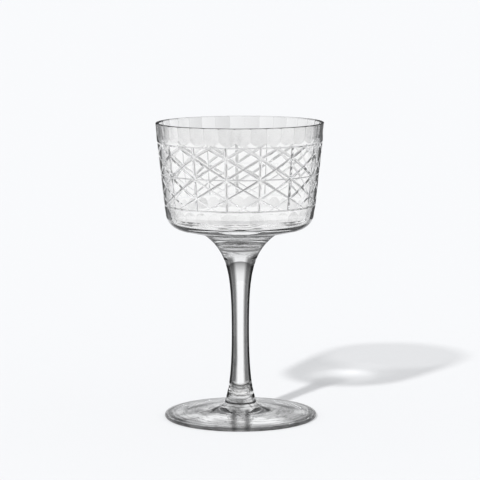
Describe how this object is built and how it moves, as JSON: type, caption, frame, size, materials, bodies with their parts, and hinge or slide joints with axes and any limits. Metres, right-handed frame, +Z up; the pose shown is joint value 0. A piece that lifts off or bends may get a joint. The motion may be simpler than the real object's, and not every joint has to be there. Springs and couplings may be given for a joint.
{
  "type": "stemmed cocktail glass",
  "caption": "Stemmed cocktail glass with a straight-sided cut bowl, a flared drawn stem and a round disc foot.",
  "frame": {"origin": "centre of the foot's underside, at the height of its flat rest ring", "axes": "+Z up along the axis of the glass, -Y towards the side that the picture shows, +X to that view's right"},
  "size_m": [0.08, 0.0798, 0.142],
  "materials": {
    "bowl_glass": "clear polished crystal, with satin wheel cuts",
    "stem_glass": "clear fire-polished crystal, solid",
    "foot_glass": "clear fire-polished crystal"
  },
  "bodies": {
    "root": {"bowl": "bowl_glass", "stem": "stem_glass", "foot": "foot_glass"}
  },
  "joints": []
}
